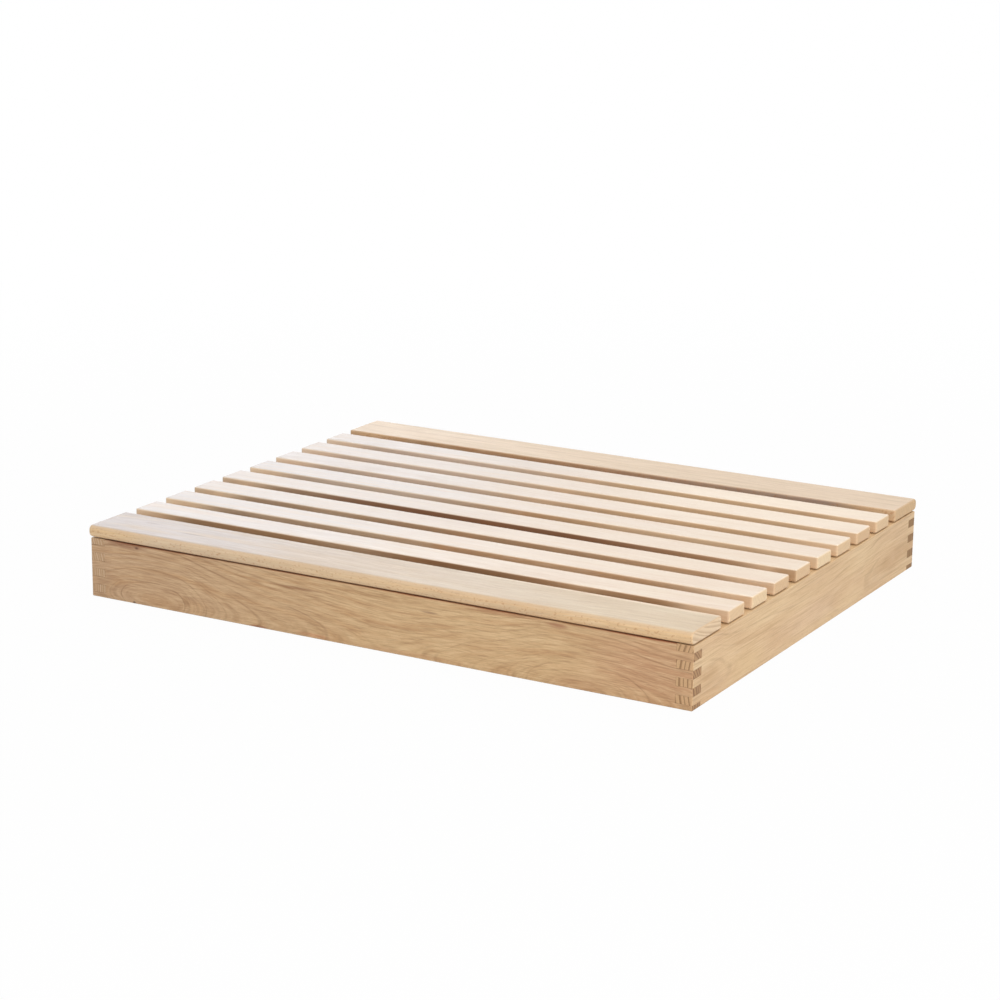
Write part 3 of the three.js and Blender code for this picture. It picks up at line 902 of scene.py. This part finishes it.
right_board_beech = beech(
    "beech_right_board", dict(END_WALL, signs=(1, 1, -1), origin=(0, 0, HALF_LENGTH)), RIGHT_TONES,
    dict(height=[(-160, 16), (-141, 14.8), (-124, 13), (-114, 11.3), (-100, 11), (-60, 10), (60, 10),
                 (80, 10), (90, 10.5), (98, 12), (110, 13), (160, 14)],
         depth=[(-160, 48.9), (-150, 49.05), (-141, 49.2), (-124, 49.57), (-114, 49.86), (-109, 50.05),
                (-96, 50.5), (-74, 50.6), (-50, 51.2), (-20, 51.8), (0, 52), (20, 51.8), (40, 51.2),
                (60, 50.6), (75, 50.5), (80, 50), (90, 49.85), (98, 49.6), (110, 49.5), (140, 49.3),
                (160, 49.2)],
         clear=[(-160, 0.9), (-60, 0.8), (0, 0.7), (60, 0.8), (160, 0.8)], heart=30,
         rings=[(50.0, 0.6), (51.6, 0.3), (53.6, 0.75), (56.2, 0.4)]),
    dict(WALL_LOOK, wander=0.7, rings=0.22, dark_rings=0.6, lines=0.16, streaks=0.34, fibres=0.34,
         fibre_length=40, end_rings=0.7, end_late=(0.55, 0.8)),
    [((-142, 17, 0), (26, 7, 8), "#C49E74", 0.5), ((130, 14, 0), (52, 8, 8), "#C49E72", 0.7),
     ((0, 12, 0), (60, 12, 8), "#D8B898", 0.5), ((-90, 10, 0), (34, 14, 8), "#D8BA8C", 0.5)],
)
left_board_beech = beech(
    "beech_left_board", dict(END_WALL, signs=(-1, 1, 1), origin=(0, 0, -HALF_LENGTH)), LEFT_TONES,
    dict(height=[(-160, 14), (0, 20), (160, 10)], clear=[(-160, 1.0), (0, 0.6), (160, 1.0)],
         depth=[(-160, 70), (-90, 64), (-20, 69), (60, 74), (120, 69), (160, 72)],
         rings=[(67, 0.6), (70, 0.5), (73, 0.7), (77, 0.4)], heart=30),
    dict(WALL_LOOK, ring=1.7, dark_rings=0.5, end_rings=0.55, end_late=(0.65, 0.9), pores=0.1),
)
front_slat_beech = beech(
    "beech_front_slat", dict(SLAT, signs=(1, 1, -1), origin=(0, FRONT_LO.y, SLAT_TOP)),
    dict(WIDE_TONES, end="#DFC7A8", end_ring="#BA9C7A"),
    dict(height=[(-200, 63), (200, 63)], rings=[(158, 0.5), (163, 0.7)], heart=30,
         depth=[(-200, 142), (-100, 146), (60, 144), (150, 149), (200, 150)],
         clear=[(-200, 0.5), (170, 0.4), (192, 0.6), (200, 1.0)]),
    dict(WIDE_LOOK, ring=2.4, end_rings=0.6, end_late=(0.35, 0.75)),
    [((-30, 18, 0), (75, 50, 4), "#BFA88C", 0.4),
     ((-170, 23.5, 0), (9, 1.3, 1.5), "#A5958C", 0.7), ((-133, 16, 0), (15, 1.4, 1.5), "#A39388", 0.75),
     # A painted highlight along the rear top edge, toward the right end
     ((150, 36, 0), (150, 5, 3), "#F2DEC6", 0.8)],
    # The late bloom is painted shade: a dark band on the underside of the nose, where it overhangs the wall
    [((0, 0.8, 7.7), (900, 3.2, 1.2), "#8C3C10", 1.0)],
)
back_slat_beech = beech(
    "beech_back_slat", dict(SLAT, signs=(-1, -1, -1), origin=(0, -FRONT_LO.y, SLAT_TOP)),
    dict(WIDE_TONES, pale="#E2CCB0", mid="#DCC4A6", cool="#DFC8AE", side="#C09468", side_dark="#A87C54",
         side_cool="#A68E80", side_end="#D2AE84", end="#CFB088"),
    dict(height=[(-200, -46), (200, -46)], clear=PLAIN, rings=[(58, 0.5), (70, 0.6)], heart=16,
         depth=[(-200, 40), (-120, 34), (0, 36), (110, 33), (200, 36)]),
    dict(WIDE_LOOK, ring=3.2),
)

# Blooms on the front faces of single slats: which slat, the bloom's place and reach along it, its tone and
# its amount. The dark ones are painted shade in the gaps in front of these slats.
SLAT_FACE_BLOOMS = [
    ((place, SLAT_FRONTS[slat], 3), (reach, 8, 20), tone, amount)
    for slat, place, reach, tone, amount in (
        (4, -110, 100, "#DCCCBC", 0.6), (4, 140, 120, "#DCC4A4", 0.5), (3, 0, 220, "#7C5236", 0.9),
        (0, -115, 105, "#9C7650", 0.75), (0, 140, 40, "#946C48", 0.6), (0, 30, 95, "#7C5430", 0.75),
        (2, 30, 150, "#94704E", 0.45), (3, 196, 18, "#A07C56", 0.6))
]
narrow_slat_beech = beech(
    "beech_narrow_slat", dict(SLAT, signs=(1, 1, -1), origin=(0, 0, SLAT_TOP)), SLAT_TONES,
    dict(height=[(-200, 0), (200, 0)], spread=60.0, clear=PLAIN, rings=[(40, 0.5), (52, 0.5)], heart=16,
         depth=[(-200, 38), (-80, 34), (60, 36), (200, 33)]),
    SLAT_LOOK,
    [((-30, SLAT_MIDDLES[2] + 12, 0), (75, 32, 0.8), "#D6C8BC", 0.5),
     # Painted light: the tops of the back slats paler toward the right end
     ((130, SLAT_MIDDLES[6], 0), (120, 70, 0.8), "#F6E8D6", 0.5),
     ((110, SLAT_MIDDLES[7], 0), (130, 16, 0.8), "#F6E6D0", 0.5)],
    [((-100, SLAT_MIDDLES[6], 3), (170, 110, 20), "#DCC8B8", 0.8),
     ((90, SLAT_MIDDLES[6], 3), (200, 110, 20), "#DCC09C", 0.6), *SLAT_FACE_BLOOMS,
     ((-195, (SLAT_FRONTS[2] + SLAT_FRONTS[3]) / 2, 3), (18, 40, 20), "#A88C70", 0.5)],
    per_slat=True,
)
cleat_beech = beech(
    "beech_cleat", dict(CLEAT, signs=(1, 1, 1), origin=(0, 0, CLEAT_LO.z)), WALL_TONES,
    dict(height=[(-160, -30), (160, -30)], clear=PLAIN, depth=[(-160, 30), (0, 34), (160, 31)],
         rings=[(44, 0.6), (50, 0.5)], heart=16),
    dict(WALL_LOOK, ring=1.8, end_rings=0.45, end_late=(0.4, 0.85)),
)


# Tray

rounded_block = rounded_block_tree()
finger_jointed_board = finger_jointed_tree(rounded_block)
top_block_middle = WALL_HEIGHT - TOP_FINGER + FINGER_PITCH / 2
groove_middle = (BASE_LO.z + BASE_HI.z) / 2
groove_height = BASE_HI.z - BASE_LO.z + 2 * GROOVE_CLEARANCE


def wall(name, node, slot, is_long, quarter_turns, material):
    """One wall: the long boards give way to the other board's top finger, the end boards keep theirs."""
    mesh = grown(finger_jointed_board, bpy.data.meshes.new(name), {
        "Length": TRAY_LENGTH if is_long else TRAY_DEPTH,
        "Depth": TRAY_DEPTH if is_long else TRAY_LENGTH,
        "Height": WALL_HEIGHT, "Thickness": WALL_THICKNESS, "Edge radius": TRAY_EDGE_RADIUS,
        "First notch": top_block_middle - (0 if is_long else FINGER_PITCH),
        "Finger pitch": FINGER_PITCH, "Glue line": GLUE_LINE, "Groove inset": GROOVE_INSET,
        "Groove middle": groove_middle, "Groove height": groove_height, "Material": material,
    })
    mesh.transform(Matrix.Rotation(math.radians(90 * quarter_turns), 4, "Z"))
    finished(name, mesh, "tray", [node], slot)


wall("front_board", "front_wall", "beech_long_wall", True, 0, front_board_beech)
wall("right_board", "right_wall", "beech_end_wall", False, 1, right_board_beech)
wall("back_board", "back_wall", "beech_long_wall", True, 2, back_board_beech)
wall("left_board", "left_wall", "beech_end_wall", False, 3, left_board_beech)

floor_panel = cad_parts["crumb_base"]
for material_slot in floor_panel.material_slots:
    material_slot.material = beech_plywood()


# Grate

slat_length = 2 * FRONT_HI.x
slat_height = (SLAT_BOTTOM + SLAT_TOP) / 2
wide_width = FRONT_HI.y - FRONT_LO.y
wide_middle = (FRONT_LO.y + FRONT_HI.y) / 2
for name, node, quarter_turns, material in (
    ("front_rail_slat", "front_slat", 0, front_slat_beech),
    ("back_rail_slat", "back_slat", 2, back_slat_beech),
):
    slat = slat_mesh(name, wide_width, NOSE_RADIUS, slat_length, (0, wide_middle, slat_height), material)
    slat.transform(Matrix.Rotation(math.radians(90 * quarter_turns), 4, "Z"))
    finished(name, slat, "grate", [node], "beech_wide_slat")

narrow_length = slat_length - NARROW_SLAT_SHORTER
one_slat = slat_mesh("one_slat", SLAT_WIDTH, SLAT_EDGE_RADIUS, narrow_length, (0, 0, slat_height))
narrow_slats = grown(slat_row_tree(), one_slat, {
    "Count": len(NARROW_SLATS), "First": (0, SLAT_MIDDLES[0], 0),
    "Pitch": (0, SLAT_MIDDLES[1] - SLAT_MIDDLES[0], 0), **NARROW_SLAT_PLAY,
    "Seed": 7, "Material": narrow_slat_beech,
})
finished("narrow_slats", narrow_slats, "grate", NARROW_SLATS, "beech_narrow_slat")

screw_boxes = [box_mm(screw) for screw in SCREWS]
screw_points = [((lo.x + hi.x) / 2, (lo.y + hi.y) / 2, SCREW_BOTTOM) for lo, hi in screw_boxes]
cleats = grown(cleats_tree(rounded_block), mesh_of("screw_places", screw_points, []), {
    "Count": len(CLEATS), "Size": CLEAT_HI - CLEAT_LO, "First": (CLEAT_LO + CLEAT_HI) / 2,
    "Spacing": (CLEAT_SPACING, 0, 0), "Edge radius": CLEAT_EDGE_RADIUS,
    "Head radius": SCREW_HEAD_RADIUS + SCREW_CLEARANCE, "Shank radius": SCREW_SHANK_RADIUS + SCREW_CLEARANCE,
    "Countersink": SCREW_HEAD_RADIUS - SCREW_SHANK_RADIUS, "Material": cleat_beech,
})
finished("cleats", cleats, "grate", CLEATS, "beech_cleat")

screw_pattern = in_scene("screw_pattern", screw_mesh())
screws = grown(screws_tree(), mesh_of("screw_places", screw_points, []), {
    "Screw": screw_pattern, **SCREW_RECESS, "Seed": 3, "Material": zinc_plated_steel(),
})
bpy.data.objects.remove(screw_pattern)
finished("cleat_screws", screws, "grate", SCREWS, "steel_screw")


# Floor, light and camera

# How far out the near floor ends, the far floor begins and the floor itself ends, in metres, and the share
# of white in what the camera sees of the near floor
FLOOR_NEAR, FLOOR_FAR, FLOOR_REACH = 0.4, 1.1, 9.0
FLOOR_WHITENESS = 0.97


def seen_by_camera(add):
    """1 for what the camera sees, straight or in a reflection, and 0 for what lights the object."""
    rays = add("ShaderNodeLightPath", {}, {}).outputs
    return add(MATH, MAXIMUM, [rays["Is Camera Ray"], rays["Is Glossy Ray"]])


def studio_floor():
    """A pale matt floor. The camera sees it near white, with the soft shadow of the board, and plain
    white further off."""
    material, add = cleared(bpy.data.materials.new("matt_white_floor"))
    coordinates = add("ShaderNodeTexCoord", {}, {})
    distance = add(VECTOR_MATH, LENGTH, [coordinates.outputs["Object"]])
    far = add(MAP_RANGE, SMOOTH, {
        "Value": distance.outputs["Value"], "From Min": FLOOR_NEAR, "From Max": FLOOR_FAR,
    })
    paint = add("ShaderNodeBsdfDiffuse", {}, {"Color": linear("#DADADA")})
    white = add("ShaderNodeEmission", {}, {"Color": linear("#FFFFFF"), "Strength": 1.0})
    near = add("ShaderNodeMixShader", {}, [FLOOR_WHITENESS, paint, white])
    seen = add("ShaderNodeMixShader", {}, [far, near, white])
    surface = add("ShaderNodeMixShader", {}, [seen_by_camera(add), paint, seen])
    add("ShaderNodeOutputMaterial", {}, {"Surface": surface})
    return material


floor_corners = [(x * FLOOR_REACH, y * FLOOR_REACH, 0) for x, y in ((-1, -1), (1, -1), (1, 1), (-1, 1))]
floor_mesh = mesh_of("studio_floor", floor_corners, [(0, 1, 2, 3)], studio_floor())
in_scene("studio_floor", floor_mesh)


def studio_world(low, high):
    """White for the camera and in reflections. For the light it is a sky that is dimmer near the
    horizon, at the level low, than overhead, at the level high."""
    bpy.context.scene.world, add = cleared(bpy.data.worlds.new("white_studio"))
    coordinates = add("ShaderNodeTexCoord", {}, {})
    direction = add(SEPARATE, {}, [coordinates.outputs["Generated"]])
    level = add(MAP_RANGE, SMOOTH, {
        "Value": direction.outputs["Z"], "From Min": 0.0, "From Max": 0.7, "To Min": low, "To Max": high,
    })
    sky = add("ShaderNodeBackground", {}, {"Color": linear("#FFFFFF"), "Strength": level})
    white = add("ShaderNodeBackground", {}, {"Color": linear("#FFFFFF"), "Strength": 1.0})
    both = add("ShaderNodeMixShader", {}, [seen_by_camera(add), sky, white])
    add("ShaderNodeOutputWorld", {}, {"Surface": both})


def softbox(name, place, aim, size, power, colour):
    """A square area lamp at a place, turned to an aim, in metres and watts."""
    lamp = bpy.data.lights.new(name, "AREA")
    lamp.shape, lamp.size, lamp.energy = "SQUARE", size, power
    lamp.color = linear(colour)[:3]
    holder = in_scene(name, lamp)
    holder.location = place
    holder.rotation_euler = (Vector(aim) - Vector(place)).to_track_quat("-Z", "Y").to_euler()


studio_world(0.35, 0.6)
softbox("overhead_softbox", (0.2, 0.1, 1.8), (0, 0, 0), 1.4, 10.5, "#FFFBF4")
softbox("back_left_softbox", (-1.5, 1.5, 0.9), (0, 0, 0.04), 1.2, 12, "#E6EEFF")
softbox("right_softbox", (2.0, -1.3, 0.8), (0.2, 0, 0.02), 1.2, 23, "#FFFAF4")
softbox("front_softbox", (1.0, -2.2, 0.8), (0.1, 0, 0.02), 1.4, 13.7, "#FFFAF2")

# The camera fitted to the photograph's edges: where right, down and ahead lie, and its place in metres
RIGHT = (0.868773, 0.495091, 0.010911)
DOWN = (0.137609, -0.220189, -0.965702)
AHEAD = (-0.475708, 0.840477, -0.259423)
CAMERA_PLACE = (0.767189, -1.371162, 0.473238)
camera = bpy.data.cameras.new("studio_camera")
camera.sensor_width, camera.lens = 36.0, 95.62
camera.shift_x, camera.shift_y = -0.0005, 0.0005
camera.clip_end = 50.0
camera_object = in_scene("studio_camera", camera)
rows = [(right, -down, -ahead, place) for right, down, ahead, place in zip(RIGHT, DOWN, AHEAD, CAMERA_PLACE)]
camera_object.matrix_world = Matrix((*rows, (0, 0, 0, 1)))
bpy.context.scene.camera = camera_object

bpy.context.scene.view_settings.view_transform = "Standard"
